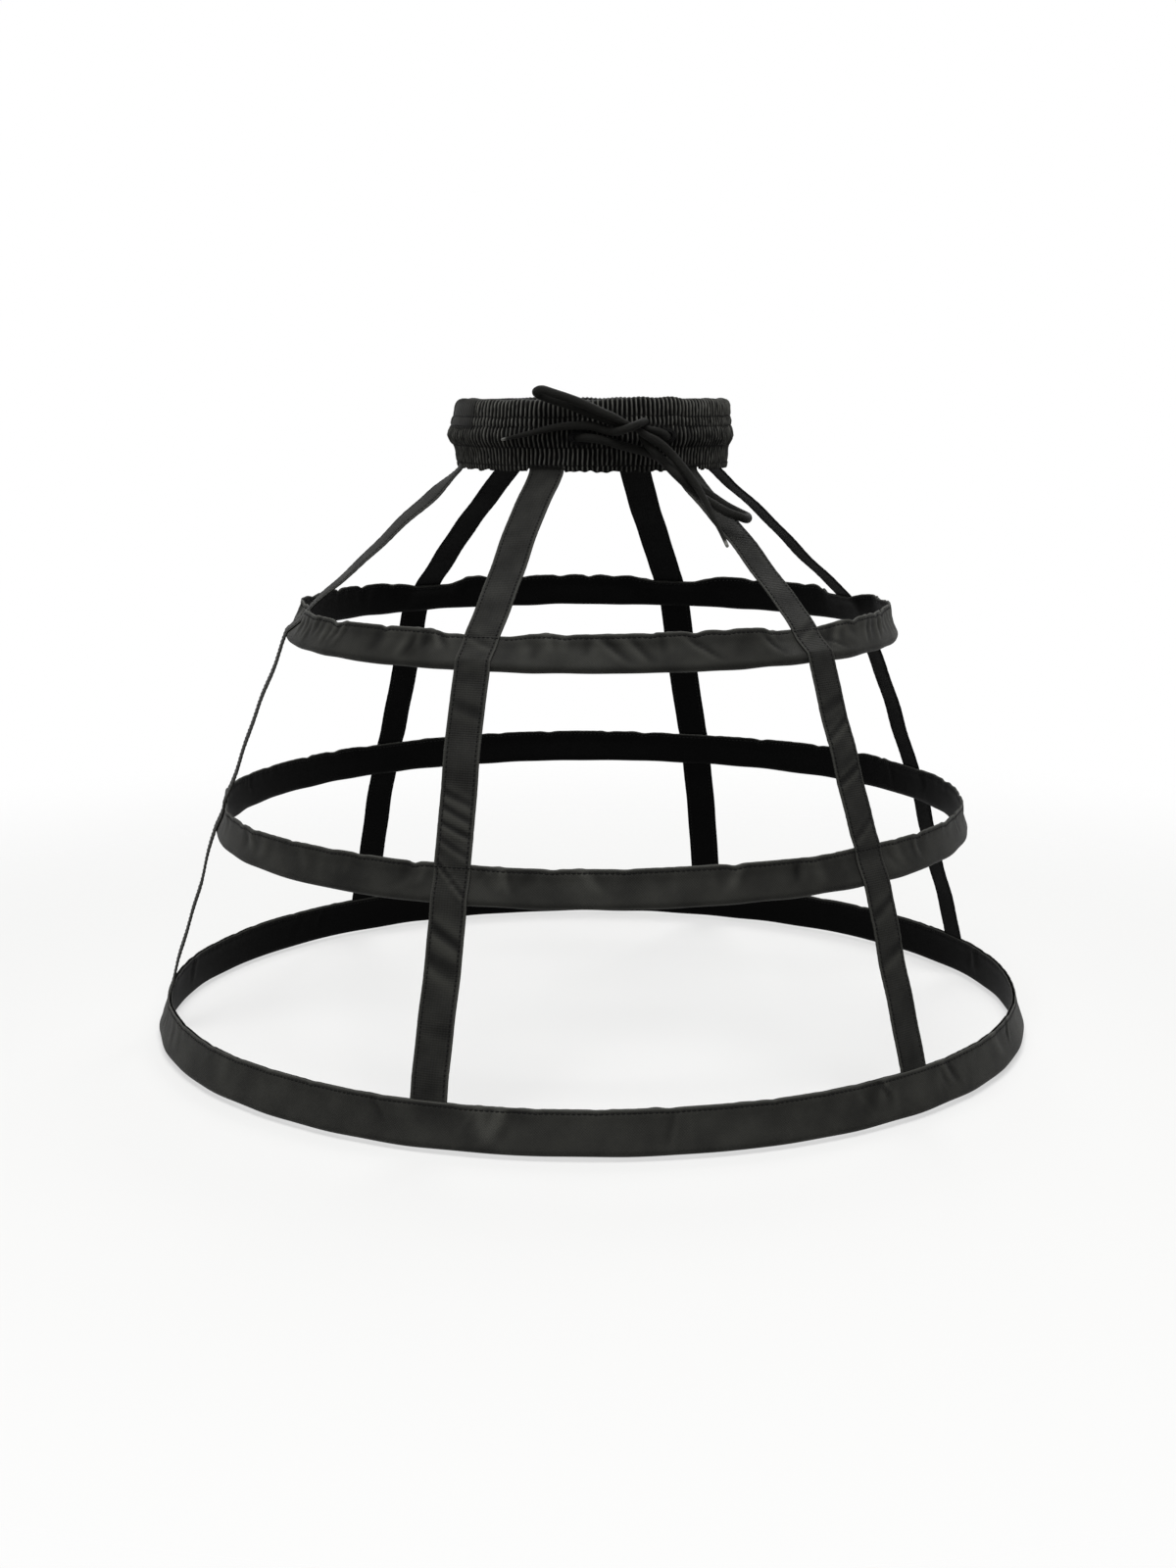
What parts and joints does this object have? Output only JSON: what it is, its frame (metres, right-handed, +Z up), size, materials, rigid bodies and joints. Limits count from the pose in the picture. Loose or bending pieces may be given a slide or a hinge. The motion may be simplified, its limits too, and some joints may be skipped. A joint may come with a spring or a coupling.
{
  "type": "hoop skirt cage",
  "caption": "Round cage petticoat: boned cloth hoops that grow toward the hem hang on tapes from a gathered elastic waistband with a drawstring bow, to hold a skirt out.",
  "frame": {"origin": "centre of the waist, half way up the waistband", "axes": "+Z up along the axis of the hoops, the front with the drawstring bow faces -Y"},
  "size_m": [0.6399, 0.64, 0.4644],
  "materials": {
    "casing_cloth": "black woven polyester, slight sheen",
    "tape_cloth": "black woven polyester tape, doubled and topstitched",
    "braided_cord": "black braided polyester cord",
    "elastic": "black woven elastic",
    "coated_rod": "white plastic over spring steel wire",
    "joint_sleeve": "crimped steel tube"
  },
  "bodies": {
    "root": {"waistband_lining": "casing_cloth", "waistband_shell": "casing_cloth", "elastic_header": "elastic", "elastic_narrow": "elastic", "elastic_wide": "elastic", "drawstring_channel": "braided_cord", "drawstring_left": "braided_cord", "drawstring_right": "braided_cord", "strap_front_left": "tape_cloth", "strap_front_right": "tape_cloth", "strap_side_right": "tape_cloth", "strap_back_right": "tape_cloth", "strap_back_left": "tape_cloth", "strap_side_left": "tape_cloth", "casing_top": "casing_cloth", "casing_middle": "casing_cloth", "casing_bottom": "casing_cloth", "rod_top": "coated_rod", "rod_middle": "coated_rod", "rod_bottom": "coated_rod", "sleeve_top": "joint_sleeve", "sleeve_middle": "joint_sleeve", "sleeve_bottom": "joint_sleeve"}
  },
  "joints": []
}
